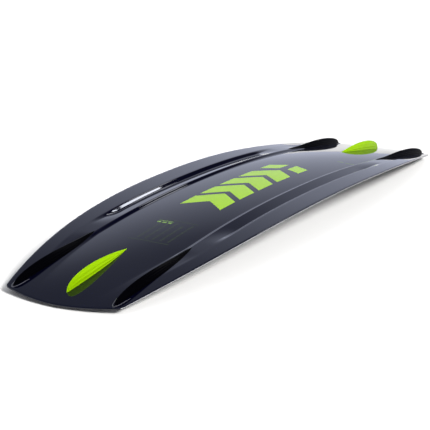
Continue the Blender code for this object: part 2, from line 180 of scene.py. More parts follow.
# The large marks on the base: how far they reach across, and their places along X.
MARKS = (-0.056, 0.044)
CHEVRONS = ((-0.174, -0.114), (-0.095, -0.035), (-0.016, 0.044), (0.063, 0.121))
CHEVRON_LEAN = 0.040
SLASHES = (0.148, 0.190)
SLASH_LEAN = 0.020
FRAME = (-0.066, 0.030)   # how far the two long rules of the frame reach across

SIDES = ((1, "left"), (-1, "right"))
ENDS = ((1, "nose"), (-1, "tail"))

VIEW_YAW = 32.30          # where the camera looks, in degrees, and where it stands
VIEW_PITCH = -16.009
VIEW_ROLL = -1.05
VIEW_FROM = (-2.8654, -1.7459, 0.9652)
LENS = 132.5
SENSOR = 36.0
LENS_SHIFT = (-0.0129, -0.0006)
# Height of a direction (0 at the horizon, 1 overhead) and how bright the studio is there.
SKY = ((0.0, 1.0), (0.10, 0.82), (0.20, 0.745), (0.27, 0.70), (0.36, 0.565), (0.44, 0.435),
       (0.50, 0.305), (0.54, 0.245), (0.60, 0.20), (1.0, 0.14))
SKY_TINT = (0.86, 0.91, 1.10)
SKY_BEHIND = 0.25         # how bright the studio is behind the camera, as a share of ahead
SKY_TURN = (-1.0, 0.3)    # from straight behind (-1) to where it is as bright as ahead
FLAG = (5.0, 37.0)        # yaw and elevation of the middle of the black flag
FLAG_EDGE = (9.0, 16.0)   # where the flag starts and stops fading, in degrees from its middle
FLAG_LEFT = 0.12          # how bright the studio still is in the middle of the flag
FLOOR_DROP = 0.004        # the board is shown just clear of the floor
# Name, yaw from +X towards +Y, elevation, strength and width, in degrees.
FLOOR_LIGHTS = (("floor_side", 255.0, 34.0, 4.6, 17.0), ("floor_dome", 60.0, 90.0, 0.85, 170.0))
STUDIO_LIGHT = ("studio", 235.0, 48.0, 3.2, 70.0)
# Name, yaw, elevation, width and height in metres, power.
SOFTBOXES = (("softbox_wide", 0.3, 43.8, 0.88, 0.66, 23.0),
             ("softbox_line", 16.5, 39.5, 0.35, 0.73, 4.0))
SOFTBOX_DISTANCE = 5.93
FLOOR_SIZE = 40.0
SLATE = (0.74, 0.80, 1.0, 1.0)    # the tint of what the base mirrors


def fade(x, start, end):
    """1 up to start, 0 beyond end, and a smooth step between them."""
    t = min(max((abs(x) - start) / (end - start), 0.0), 1.0)
    return 1 - t * t * (3 - 2 * t)


def between(x, points):
    """The value at x on straight lines through (place, value) points."""
    for (x0, v0), (x1, v1) in zip(points, points[1:]):
        if x <= x1:
            return v0 + (v1 - v0) * (x - x0) / (x1 - x0)
    return points[-1][1]


# ---- The board's shape ---------------------------------------------------------------------------------

def half_width(x):
    share = min(abs(x) / CORNER_X, 1.0)
    return WIDTH / 2 - (WIDTH / 2 - CORNER_Y) * share**SIDE_POWER


def squeeze(x):
    """How far the lines of the base draw together where the board is narrow, as a share."""
    return min(1.0, (half_width(x) - SIDE_BEVEL) / CHANNEL_EDGE)


def rocker(x):
    return ROCKER * (1 - (min(abs(x) / HALF_LENGTH, 1.0)) ** ROCKER_POWER)


def sharp_section(x, y):
    """Height of the base across the board: a crowned panel, a spine, a channel and a flat rail."""
    s = abs(y) / squeeze(x)
    foot = FOOT_DEPTH * fade(x, *FOOT_FADE)
    on_chord = foot * (CHANNEL_EDGE - SPINE_CREST) / (CHANNEL_EDGE - SPINE_FOOT)
    spine = fade(x, *CREST_FADE)
    crest = CREST_DEPTH * spine + on_chord * (1 - spine)
    channel = fade(x, *CHANNEL_FADE)
    level = crest * (CHANNEL_EDGE - CHANNEL_BOTTOM) / (CHANNEL_EDGE - SPINE_CREST)
    bottom = CHANNEL_DEPTH * channel + level * (1 - channel)
    if s < SPINE_FOOT:
        crown = PANEL_CROWN * fade(x, *CROWN_FADE)
        return crown - (foot + crown) * (s / SPINE_FOOT) ** 2
    for start, end, first, last in ((SPINE_FOOT, SPINE_CREST, foot, crest),
                                    (CHANNEL_BOTTOM, CHANNEL_EDGE, bottom, 0.0)):
        if start <= s <= end:
            line = first + (last - first) * (s - start) / (end - start)
            curve = last + (first - last) * fade(s, start, end)
            return -((1 - WALL_CURVE) * line + WALL_CURVE * curve)
    return -between(s, [(SPINE_CREST, crest), (CHANNEL_BOTTOM, bottom), (CHANNEL_EDGE, 0.0), (1.0, 0.0)])


def section(x, y):
    """The section with its lines rounded."""
    steps = (-1.0, -0.6, -0.2, 0.2, 0.6, 1.0)
    return sum(sharp_section(x, y + FILLET * step) for step in steps) / len(steps)


def base(x, y):
    """Height of the top of the base, under the prints."""
    return EDGE_THICKNESS + rocker(x) + section(x, y) - 2 * PRINT


def full_thickness(x):
    fins = (MIDDLE_THICKNESS - FIN_THICKNESS) * fade(x, *MIDDLE_FADE)
    tips = (FIN_THICKNESS - TIP_THICKNESS) * fade(x, *TIP_FADE)
    return TIP_THICKNESS + tips + fins


def deck_line(x):
    """Height of the deck along the middle, with flats under the bindings and the fin screws."""
    def curve(at):
        return EDGE_THICKNESS + rocker(at) - full_thickness(at)
    for low, high in (PLATFORM, FIN_FLAT):
        if low <= abs(x) <= high:
            return between(abs(x), [(low, curve(low)), (high, curve(high))])
    return curve(x)


def deck(x, y):
    """Height of the deck, which rises to the edge in a bevel."""
    width = half_width(x)
    tip = HALF_LENGTH - TIP_BOW * min(abs(y) / width, 1.0) ** TIP_POWER
    side = (width - abs(y)) / (width - squeeze(x) * CHANNEL_EDGE)
    bevel = fade(min(side, (tip - abs(x)) / TIP_BEVEL), 0.0, 1.0)
    return rocker(x) * bevel + deck_line(x) * (1 - bevel)


def plan(xs, y):
    """The point of the plan on the row at xs, at y before the tip's bow and the rounded corners."""
    side = math.copysign(1.0, xs)
    along, across, width = abs(xs), abs(y), half_width(xs)
    a = 1 - (CORNER_X - along) / CORNER_RADIUS
    b = 1 - (width - across) / CORNER_RADIUS
    if a > 0 and b > 0:
        along = CORNER_X - CORNER_RADIUS * (1 - a * math.sqrt(1 - b * b / 2))
        across = width - CORNER_RADIUS * (1 - b * math.sqrt(1 - a * a / 2))
    bow = TIP_BOW * (1 - (across / width) ** TIP_POWER) * (1 - fade(along, *BOW_FADE))
    return side * (along + bow), math.copysign(across, y)


# ---- Mesh helpers --------------------------------------------------------------------------------------

def spread(start, end, count):
    return [start + (end - start) * k / count for k in range(count + 1)]


def both_ways(half):
    """The places of one half, mirrored about 0."""
    return [-place for place in reversed(half) if place > 0] + list(half)


def piece(name, bm, paint, replaces=(), sharp_degrees=35.0):
    """A visible piece of the board, made from a bmesh."""
    bmesh.ops.recalc_face_normals(bm, faces=bm.faces)
    mesh = bpy.data.meshes.new(name)
    bm.to_mesh(mesh)
    bm.free()
    mesh.shade_smooth()
    mesh.set_sharp_from_angle(angle=math.radians(sharp_degrees))
    mesh.materials.append(paint)
    obj = bpy.data.objects.new(name, mesh)
    bpy.context.scene.collection.objects.link(obj)
    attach(obj, "root")
    if replaces:
        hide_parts(*replaces)
    return obj


def surface(rows, columns, place):
    """A grid of quads: place(row, column) gives each point."""
    bm = bmesh.new()
    grid = [[bm.verts.new(place(row, column)) for column in columns(row)] for row in rows]
    for one, two in zip(grid, grid[1:]):
        for k in range(len(one) - 1):
            bm.faces.new((one[k], one[k + 1], two[k + 1], two[k]))
    return bm


def loft(rings, cap=True):
    """A skin through closed rings of as many points each."""
    bm = bmesh.new()
    loops = [[bm.verts.new(point) for point in ring] for ring in rings]
    for one, two in zip(loops, loops[1:]):
        for k in range(len(one)):
            bm.faces.new((one[k - 1], one[k], two[k], two[k - 1]))
    if cap:
        bm.faces.new(loops[0])
        bm.faces.new(loops[-1])
    return bm


# ---- Materials -----------------------------------------------------------------------------------------

class Paint:
    """A Principled material and short ways to add nodes to it."""

    def __init__(self, name, colour, roughness, metallic=0.0, **inputs):
        self.material = bpy.data.materials.new(name)
        self.material.use_nodes = True
        self.tree = self.material.node_tree
        self.shader = self.tree.nodes["Principled BSDF"]
        self.set(self.shader, **{"Base Color": (*colour, 1.0), "Roughness": roughness, "Metallic": metallic})
        self.set(self.shader, **inputs)
        self.where = self.node("ShaderNodeTexCoord").outputs["Object"]

    def set(self, node, **inputs):
        for key, value in inputs.items():
            node.inputs[key].default_value = value

    def node(self, kind, links=None, **inputs):
        made = self.tree.nodes.new(kind)
        self.set(made, **inputs)
        for key, source in (links or {}).items():
            self.tree.links.new(source, made.inputs[key])
        return made

    def stretched(self, scale):
        mapping = self.node("ShaderNodeMapping", {"Vector": self.where})
        mapping.inputs["Scale"].default_value = scale
        return mapping.outputs["Vector"]

    def noise(self, scale, detail=2.0, stretch=None):
        source = self.stretched(stretch) if stretch else self.where
        made = self.node("ShaderNodeTexNoise", {"Vector": source}, Scale=scale, Detail=detail)
        return made.outputs["Fac"]

    def span(self, source, low, high):
        """source, 0 to 1, drawn to low to high."""
        made = self.node("ShaderNodeMapRange", {"Value": source})
        self.set(made, **{"To Min": low, "To Max": high})
        return made.outputs["Result"]

    def drive(self, key, source):
        self.tree.links.new(source, self.shader.inputs[key])

    def bump(self, height, strength, distance):
        made = self.node("ShaderNodeBump", {"Height": height}, Strength=strength, Distance=distance)
        self.drive("Normal", made.outputs["Normal"])


def colour_mix(paint, factor, first, second):
    """A colour that goes from first to second with the factor."""
    made = paint.tree.nodes.new("ShaderNodeMix")
    made.data_type = "RGBA"
    sockets = {s.identifier: s for s in made.inputs}
    paint.tree.links.new(factor, sockets["Factor_Float"])
    sockets["A_Color"].default_value = (*first, 1.0)
    sockets["B_Color"].default_value = (*second, 1.0)
    return next(s for s in made.outputs if s.identifier == "Result_Color")


def base_gloss():
    paint = Paint("base_gloss", (0.0008, 0.0010, 0.0022), 0.04, IOR=1.50)
    paint.set(paint.shader, **{"Specular Tint": SLATE})
    slow = paint.noise(6.0, 2.0, (1.0, 2.5, 1.0))
    paint.drive("Base Color", colour_mix(paint, slow, (0.0006, 0.0008, 0.0068), (0.0012, 0.0014, 0.0092)))
    paint.drive("Roughness", paint.span(paint.noise(220.0, 3.0), 0.025, 0.055))
    paint.bump(slow, 0.20, 0.0004)
    return paint.material


def print_green():
    paint = Paint("print_green", (0.38, 0.68, 0.012), 0.16, IOR=1.30)
    ink = paint.noise(400.0, 3.0)
    paint.drive("Base Color", colour_mix(paint, ink, (0.39, 0.69, 0.006), (0.44, 0.76, 0.014)))
    paint.drive("Roughness", paint.span(paint.noise(220.0, 3.0), 0.12, 0.20))
    return paint.material


def print_faint():
    paint = Paint("print_faint", (0.10, 0.22, 0.03), 0.10, IOR=1.50)
    ink = paint.noise(400.0, 3.0)
    paint.drive("Base Color", colour_mix(paint, ink, (0.17, 0.32, 0.05), (0.22, 0.40, 0.06)))
    paint.drive("Roughness", paint.span(paint.noise(220.0, 3.0), 0.07, 0.12))
    return paint.material


def print_grey():
    paint = Paint("print_grey", (0.010, 0.013, 0.010), 0.08, IOR=1.50)
    paint.set(paint.shader, **{"Specular Tint": SLATE})
    ink = paint.noise(400.0, 3.0)
    paint.drive("Base Color", colour_mix(paint, ink, (0.020, 0.032, 0.012), (0.030, 0.048, 0.016)))
    paint.drive("Roughness", paint.span(paint.noise(220.0, 3.0), 0.06, 0.10))
    return paint.material


def fin_black():
    paint = Paint("fin_black", (0.0006, 0.0006, 0.0012), 0.34, IOR=1.05)
    grain = paint.noise(500.0, 3.0, (0.2, 1.0, 1.0))
    paint.drive("Base Color", colour_mix(paint, grain, (0.0004, 0.0004, 0.0009), (0.0010, 0.0010, 0.0019)))
    paint.drive("Roughness", paint.span(grain, 0.24, 0.34))
    paint.bump(grain, 0.15, 0.00008)
    return paint.material


def fin_green():
    paint = Paint("fin_green", (0.36, 0.66, 0.002), 0.30, IOR=1.11)
    grain = paint.noise(400.0, 3.0, (0.2, 1.0, 1.0))
    paint.drive("Base Color", colour_mix(paint, grain, (0.345, 0.640, 0.0012), (0.385, 0.700, 0.0030)))
    paint.drive("Roughness", paint.span(grain, 0.20, 0.32))
    paint.bump(grain, 0.15, 0.00008)
    return paint.material


# Dark paint for the foot of the edge and for the bands at the tips: painted shade, the shadow under and
# along the edge.
def edge_painted_shade():
    paint = Paint("edge_painted_shade", (0.012, 0.012, 0.014), 0.45)
    grain = paint.noise(700.0, 4.0)
    paint.drive("Base Color", colour_mix(paint, grain, (0.010, 0.010, 0.012), (0.018, 0.018, 0.021)))
    paint.drive("Roughness", paint.span(grain, 0.38, 0.55))
    paint.bump(grain, 0.2, 0.0001)
    return paint.material


# Pale plastic for the sides of the edge, made brighter than its own tone: partly painted light, the white
# floor's shine on the side of the edge.
def rail_pale_painted_light():
    paint = Paint("rail_pale_painted_light", (0.36, 0.36, 0.36), 0.30)
    grain = paint.noise(300.0, 4.0, (0.15, 1.0, 1.0))
    paint.drive("Base Color", colour_mix(paint, grain, (0.44, 0.44, 0.45), (0.56, 0.56, 0.57)))
    paint.drive("Roughness", paint.span(grain, 0.25, 0.42))
    paint.bump(grain, 0.2, 0.0001)
    return paint.material


def deck_satin():
    paint = Paint("deck_satin", (0.020, 0.021, 0.028), 0.40)
    grain = paint.noise(1400.0, 4.0)
    slow = paint.noise(9.0, 3.0)
    paint.drive("Base Color", colour_mix(paint, slow, (0.016, 0.017, 0.023), (0.026, 0.027, 0.034)))
    paint.drive("Roughness", paint.span(grain, 0.32, 0.50))
    paint.bump(grain, 0.25, 0.00015)
    return paint.material


def brushed(name, colour, roughness):
    """A metal with fine turning lines."""
    paint = Paint(name, colour, roughness, 1.0)
    lines = paint.noise(900.0, 4.0, (1.0, 1.0, 0.08))
    dark = tuple(channel * 0.82 for channel in colour)
    paint.drive("Base Color", colour_mix(paint, lines, dark, colour))
    paint.drive("Roughness", paint.span(lines, roughness * 0.7, roughness * 1.4))
    return paint.material


def plain(name, first, second, roughness, scale, stretch=None):
    """A matt material with a grain, for what is inside the board."""
    paint = Paint(name, first, roughness)
    grain = paint.noise(scale, 5.0, stretch)
    paint.drive("Base Color", colour_mix(paint, grain, first, second))
    paint.drive("Roughness", paint.span(grain, roughness * 0.8, min(roughness * 1.2, 1.0)))
    paint.bump(grain, 0.3, 0.0003)
    return paint.material


# ---- Skins ---------------------------------------------------------------------------------------------

def fine_rows(last):
    """Rows along the board, closer together towards the tips."""
    half = spread(0.0, CLOSE_ROWS, 80)[:-1] + spread(CLOSE_ROWS, last, 14)
    return both_ways(half)


def fine_columns(x, last_inset, rim=()):
    """Columns across the board, close together on the lines of the base."""
    lines = (0.0, SPINE_FOOT, SPINE_CREST, CHANNEL_BOTTOM, CHANNEL_EDGE)
    steps = (18, 9, 10, 9)
    clear, close = 1.4 * FILLET, 0.9 * FILLET
    half = []
    for start, end, count in zip(lines, lines[1:], steps):
        half += spread(start + (clear if start else 0.0), end - clear, count)
        half += spread(end - close, end + close, 4)
    half = [squeeze(x) * place for place in half]
    edge = half_width(x)
    half += spread(half[-1], edge - last_inset, 8)[1:]
    return both_ways(half + [edge - inset for inset in rim])


def make_base_skin(paint):
    """The top of the base with a small round at its rim, and a lip down to the rail."""
    rim = [RIM_ROUND * (1 - math.sin(a)) for a in spread(0.0, math.pi / 2, 4)][1:]
    rows = fine_rows(CORNER_X - RIM_ROUND)
    ends = [CORNER_X - inset for inset in rim]
    rows = [-row for row in reversed(ends)] + rows + ends

    def columns(row):
        return fine_columns(row, RIM_ROUND, rim)

    def drop(row, column):
        side = RIM_ROUND - min(half_width(row) - abs(column), CORNER_X - abs(row), RIM_ROUND)
        return RIM_ROUND - math.sqrt(max(RIM_ROUND**2 - side**2, 0.0))

    def place(row, column):
        x, y = plan(row, column)
        return x, y, base(x, y) - drop(row, column)

    bm = surface(rows, columns, place)
    rim_edges = [edge for edge in bm.edges if edge.is_boundary]
    lip = bmesh.ops.extrude_edge_only(bm, edges=rim_edges)["geom"]
    for vert in (v for v in lip if isinstance(v, bmesh.types.BMVert)):
        vert.co.z -= RIM_LIP
    return piece("base_skin", bm, paint, ("base_sheet",))


def rim_loop(inset):
    """Points round the outline, inset from it, at even steps: (x, y)."""
    points = []
    last = CORNER_X - inset
    for row in fine_rows(last):
        points.append(plan(row, half_width(row) - inset))
    for share in spread(1.0, -1.0, 60)[1:-1]:
        points.append(plan(last, (half_width(last) - inset) * share))
    for row in reversed(fine_rows(last)):
        points.append(plan(row, -(half_width(row) - inset)))
    for share in spread(-1.0, 1.0, 60)[1:-1]:
        points.append(plan(-last, (half_width(last) - inset) * share))
    return points


def edge_loops(profile):
    """One closed loop round the board for each (inset, depth under the top of the base)."""
    return [[(x, y, EDGE_THICKNESS + rocker(x) - 2 * PRINT - depth) for x, y in rim_loop(inset)]
            for inset, depth in profile]


def make_rails(pale, dark):
    """The edge: a band under the base sheet and a round foot that runs into the deck's bevel. The band is
    pale along the sides, partly its own tone and partly painted light, and the band at the tips and the foot
    are dark as painted shade."""
    nodes = ("rail_left", "rail_right", "tip_edge_nose", "tip_edge_tail")
    top = RIM_ROUND + EDGE_SEAM
    band = edge_loops([(BAND_BACK, top), (0.0002, top), (0.0, RIM_ROUND + 0.0003),
                       (0.0, BAND_FOOT - 0.0002), (0.0003, BAND_FOOT), (BAND_BACK, BAND_FOOT)])
    side = len(fine_rows(CORNER_X)) - 1
    tip = len(band[0]) // 2 - side
    # The sides get the pale band with its painted light, the tips the dark paint with its painted shade.
    strips = (("rail_band_left", 0, side, pale), ("rail_band_right", side + tip, side, pale),
              ("tip_band_nose", side, tip, dark), ("tip_band_tail", 2 * side + tip, tip, dark))
    for name, start, count, paint in strips:
        strip = surface(range(count + 1), lambda _: range(len(band)),
                        lambda i, k: band[k][(start + i) % len(band[k])])
        piece(name, strip, paint, nodes)
    start = BAND_FOOT + EDGE_SEAM
    tuck = EDGE_THICKNESS - 2 * PRINT - BAND_FOOT - EDGE_SEAM
    foot = [(BAND_BACK, start), (FOOT_INSET, start)]
    foot += [(FOOT_INSET + FOOT_ROUND * (1 - math.cos(a)), start + tuck * math.sin(a))
             for a in spread(0.0, math.pi / 2, 5)[1:]]
    loops = edge_loops(foot)
    for inset in (RAIL_WIDTH / 2, RAIL_WIDTH * 3 / 4, RAIL_WIDTH):
        loops.append([(x, y, deck(x, y)) for x, y in rim_loop(inset)])
    piece("rail_foot", loft(loops, cap=False), dark, nodes)


def deck_axis(node):
    """The middle of a turned part of the deck, and its axis, which points out of the deck."""
    low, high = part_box(node)
    middle = (low + high) / 2
    flat = FIN_FLAT if "fin_" in node else PLATFORM
    rise = deck_line(flat[1]) - deck_line(flat[0])
    slope = math.copysign(1.0, middle.x) * rise / (flat[1] - flat[0])
    return middle, Vector((slope, 0.0, -1.0)).normalized()


def frame_at(point, axis):
    """A frame whose Z runs along the axis and whose origin is the point."""
    side = axis.cross(Vector((0.0, 1.0, 0.0))).normalized()
    return Matrix.Translation(point) @ Matrix((axis.cross(side), side, axis)).transposed().to_4x4()


def circle(radius, height, sides=48):
    return [(radius * math.cos(2 * math.pi * k / sides), radius * math.sin(2 * math.pi * k / sides), height)
            for k in range(sides)]


def turned(rings, place):
    """A solid from rings round Z, of which the first and last are points on the axis or the same ring."""
    bm = loft(rings, cap=False)
    bmesh.ops.remove_doubles(bm, verts=bm.verts, dist=1e-7)
    bmesh.ops.transform(bm, matrix=place, verts=bm.verts)
    return bm


def revolve(profile, place, sides=40):
    """A turned solid from (radius, height) points, with its axis and origin at place."""
    return turned([circle(radius, height, sides) for radius, height in profile], place)


def deck_holes():
    """Solids for the holes in the deck, one at each insert and each fin screw."""
    holes = bmesh.new()
    for name in frame["nodes"]:
        radius = INSERT_RADIUS if "binding_insert" in name else SCREW_HOLE if "fin_screw" in name else 0.0
        if radius:
            outline = ((0.0, -HOLE_REACH), (radius, -HOLE_REACH), (radius, HOLE_REACH), (0.0, HOLE_REACH))
            hole = revolve(outline, frame_at(*deck_axis(name)))
            bmesh.ops.recalc_face_normals(hole, faces=hole.faces)
            mesh = bpy.data.meshes.new("hole")
            hole.to_mesh(mesh)
            hole.free()
            holes.from_mesh(mesh)
            bpy.data.meshes.remove(mesh)
    return holes


def make_deck_skin(paint):
    """The deck's sheet, with its holes."""
    rows = fine_rows(CORNER_X - RAIL_WIDTH)

    def columns(row):
        return both_ways(spread(0.0, half_width(row) - RAIL_WIDTH, 30))

    def place(row, column):
        x, y = plan(row, column)
        return x, y, deck(x, y)

    bm = surface(rows, columns, place)
    top = bmesh.ops.extrude_face_region(bm, geom=bm.faces[:])["geom"]
    upper = [vert for vert in top if isinstance(vert, bmesh.types.BMVert)]
    bmesh.ops.translate(bm, verts=upper, vec=(0, 0, DECK_SKIN))
    sheet = piece("deck_skin", bm, paint, ("deck_sheet",), 30.0)
    cut(sheet, deck_holes())


def cut(obj, cutter):
    """Takes the cutter's solids out of the object's mesh."""
    mesh = bpy.data.meshes.new("cutter")
    cutter.to_mesh(mesh)
    cutter.free()
    tool = bpy.data.objects.new("cutter", mesh)
    bpy.context.scene.collection.objects.link(tool)
    boolean = obj.modifiers.new("holes", "BOOLEAN")
    boolean.operation = "DIFFERENCE"
    boolean.solver = "EXACT"
    boolean.object = tool
    graph = bpy.context.evaluated_depsgraph_get()
    made = bpy.data.meshes.new_from_object(obj.evaluated_get(graph))
    obj.modifiers.clear()
    obj.data = made
    bpy.data.objects.remove(tool)


# ---- Fasteners -----------------------------------------------------------------------------------------

def insert_profile():
    """A brass insert from its mouth, at 0, inwards: a bevelled mouth and a threaded bore."""
    mouth = -INSERT_LENGTH / 2
    wall = INSERT_RADIUS - 0.0001
    profile = [(0.0, INSERT_LENGTH), (wall, INSERT_LENGTH), (wall, 0.0003),
               (INSERT_RADIUS - 0.0004, 0.0), (INSERT_BORE + 0.0007, 0.0)]
    pitch = (INSERT_LENGTH - INSERT_FLOOR - 0.0010) / INSERT_THREADS
    for turn in range(INSERT_THREADS):
        start = 0.0007 + turn * pitch
        profile += [(INSERT_BORE, start), (INSERT_BORE, start + 0.2 * pitch),
                    (INSERT_BORE + 0.0005, start + 0.6 * pitch)]
    profile += [(INSERT_BORE, INSERT_LENGTH - INSERT_FLOOR), (0.0, INSERT_LENGTH - INSERT_FLOOR)]
    return [(radius, -(height + mouth)) for radius, height in profile]


def make_inserts(paint):
    profile = insert_profile()
    for name in sorted(frame["nodes"]):
        if "binding_insert" in name:
            bm = revolve(profile, frame_at(*deck_axis(name)))
            piece(f"{name}_turned", bm, paint, (name,), 30.0)


def hexagon(radius, height, sides=48):
    """A hexagon with as many points as a ring of the given sides."""
    points = []
    for k in range(sides):
        angle = 2 * math.pi * k / sides
        reach = radius * math.cos(math.pi / 6) / math.cos((angle % (math.pi / 3)) - math.pi / 6)
        points.append((reach * math.cos(angle), reach * math.sin(angle), height))
    return points


def washer_profile():
    inner, outer, half = SCREW_HOLE, WASHER_RADIUS, WASHER_THICKNESS / 2
    return [(inner, -half), (outer, -half), (outer, half - WASHER_BEVEL), (outer - WASHER_BEVEL, half),
            (inner + WASHER_BEVEL, half), (inner, half - WASHER_BEVEL), (inner, -half)]


def screw_rings():
    """A screw from its shank outwards: a domed head with a hexagon socket in it."""
    seat = WASHER_THICKNESS / 2
    top = seat + HEAD_HEIGHT
    rings = [circle(0.0, -SCREW_REACH), circle(SCREW_RADIUS, -SCREW_REACH), circle(SCREW_RADIUS, seat),
             circle(HEAD_RADIUS, seat), circle(HEAD_RADIUS, seat + HEAD_RIM)]
    for a in spread(0, math.pi / 2, 7)[1:]:
        radius = HEAD_RADIUS - HEAD_DOME * (1 - math.cos(a))
        rings.append(circle(radius, seat + HEAD_RIM + (HEAD_HEIGHT - HEAD_RIM) * math.sin(a)))
    rings += [hexagon(SOCKET_RADIUS + SOCKET_BEVEL, top), hexagon(SOCKET_RADIUS, top - SOCKET_BEVEL),
              hexagon(SOCKET_RADIUS, top - SOCKET_DEPTH), circle(0.0, top - SOCKET_DEPTH)]
    return rings


def make_fin_screws(paint):
    """A screw on a bevelled washer, at each fin screw."""
    for washer in sorted(frame["nodes"]):
        if "fin_washer" not in washer:
            continue
        place = frame_at(*deck_axis(washer))
        bm = revolve(washer_profile(), place, 56)
        piece(f"{washer}_turned", bm, paint, (washer,), 30.0)
        screw = washer.replace("washer", "screw")
        piece(f"{screw}_turned", turned(screw_rings(), place), paint, (screw,), 30.0)


# ---- Fins ----------------------------------------------------------------------------------------------

def fin_profile(share, rise, drop):
    """Height of a fin as a share of its greatest, from its inner end (0) to its outer end (1)."""
    peak = rise / (rise + drop)
    return share**rise * (1 - share) ** drop / (peak**rise * (1 - peak) ** drop)


def flute(level, count, depth):
    """How far a face is hollowed between its ridges, at a level from foot (0) to crest (1)."""
    return depth * math.sin(math.pi * count * level) ** 2


def fin_half_width(share, widest, lean, fill):
    """Half the width of a fin's foot, from its inner end (0) to its outer end (1)."""
    return widest * math.sin(math.pi * share**lean) ** fill


def fin_rings(ends, height_of, half_of, middle_y, flutes, flute_depth, face_power):
    """Rings across a fin, each from foot to crest and down again. Its foot follows the base."""
    start, end = ends
    shares = [0.5 - 0.5 * math.cos(math.pi * k / FIN_ROWS) for k in range(FIN_ROWS + 1)]
    shares[0], shares[-1] = FIN_TRIM
    levels = spread(0.0, 1.0, FIN_LEVELS)
    faces = [(1, level) for level in levels] + [(-1, level) for level in list(reversed(levels))[1:]]
    rings = []
    for share in shares:
        x = start + (end - start) * share
        height, half = height_of(share), half_of(share)
        crest = base(x, middle_y)
        ring = []
        for side, level in faces:
            reach = half * (1 - level**face_power) * (1 - flute(level, flutes, flute_depth))
            y = middle_y + side * reach
            foot = base(x, y)
            ring.append((x, y, foot - FIN_SINK + (height + crest - foot + FIN_SINK) * level))
        rings.append(ring)
    return rings


def centre_fin():
    return loft(fin_rings(CENTRE_FIN, lambda s: CENTRE_FIN_HEIGHT * fin_profile(s, *CENTRE_FIN_CURVE),
                          lambda s: fin_half_width(s, CENTRE_FIN_HALF_WIDTH, *CENTRE_FIN_PLAN),
                          0.0, *CENTRE_FIN_FACE))


def side_fin(middle_y):
    return loft(fin_rings(SIDE_FIN, lambda s: SIDE_FIN_HEIGHT * fin_profile(s, *SIDE_FIN_CURVE),
                          lambda s: fin_half_width(s, SIDE_FIN_HALF_WIDTH, *SIDE_FIN_PLAN),
                          middle_y, *SIDE_FIN_FACE))


def make_fins(green, black):
    """The fins of the nose, and the same turned round for the tail."""
    for end, tip in ENDS:
        turn = Matrix.Rotation(0.0 if end > 0 else math.pi, 4, "Z")
        bm = centre_fin()
        bmesh.ops.transform(bm, matrix=turn, verts=bm.verts)
        piece(f"centre_fin_{tip}_skin", bm, green, (f"centre_fin_{tip}",), 50.0)
        for side, name in SIDES:
            bm = side_fin(side * end * SIDE_FIN_Y)
            bmesh.ops.transform(bm, matrix=turn, verts=bm.verts)
            piece(f"side_fin_{tip}_{name}_skin", bm, black,
                  (f"side_fin_{tip}_{name}",), 50.0)


def bead(outline, radius, name, paint):
    """A thin half-sunk bead along an outline on the base."""
    rings = []
    points = [Vector((x, y, base(x, y))) for x, y in outline]
    for k, point in enumerate(points):
        along = (points[min(k + 1, len(points) - 1)] - points[max(k - 1, 0)]).normalized()
        across = along.cross(Vector((0, 0, 1))).normalized()
        upright = across.cross(along)
        thick = radius * (0.25 + 0.75 * min(1.0, min(k, len(points) - 1 - k) / BEAD_TAPER))
        rings.append([point + across * (thick * math.cos(a)) + upright * (thick * math.sin(a))
                      for a in spread(0.0, 2 * math.pi, 12)[:-1]])
    return piece(name, loft(rings), paint, (), 60.0)


def make_fin_seats(paint):
    """A fine raised line round the outer end of each side fin's seat, painted grey as a highlight."""
    start, end = SIDE_FIN
    for way, tip in ENDS:
        for side, name in SIDES:
            outline = []
            for turn in spread(-1.0, 1.0, 60):
                share = 1 - SEAT_REACH * abs(turn) ** SEAT_BEND
                aside = min(1.0, abs(turn) / SEAT_FRONT)
                half = fin_half_width(min(share, 0.999), SIDE_FIN_HALF_WIDTH, *SIDE_FIN_PLAN)
                x = start + (end - start) * share + SEAT_GAP * (1 - aside)
                y = SIDE_FIN_Y + math.copysign(half + SEAT_GAP * aside, turn)
                outline.append((way * x, side * way * y))
            bead(outline, SEAT_BEAD, f"fin_seat_{tip}_{name}", paint)


# ---- Prints on the base --------------------------------------------------------------------------------

def on_base(x, y):
    return x, y, base(x, y) + PRINT


def patch(name, x_span, y_span, bend, rows, columns, paint):
    """A print on the base, moved along X by bend(share of the way across)."""
    (x_low, x_high), (y_low, y_high) = x_span, y_span

    def place(row, column):
        return on_base(x_low + (x_high - x_low) * column + bend(row), y_low + (y_high - y_low) * row)

    grid = surface(spread(0.0, 1.0, rows), lambda row: spread(0.0, 1.0, columns), place)
    return piece(name, grid, paint)


def chevron(name, x_span, y_span, lean, paint):
    """A broad chevron across the board, pointing along X, its four ends cut at a slant."""
    return patch(name, x_span, y_span, lambda row: lean * (1 - abs(2 * row - 1)) - lean / 2, 32, 10, paint)


def bar(name, x_span, y_span, paint, slant=0.0):
    """A straight print, its ends cut at a slant."""
    return patch(name, x_span, y_span, lambda row: slant * (row - 0.5), 12, 12, paint)


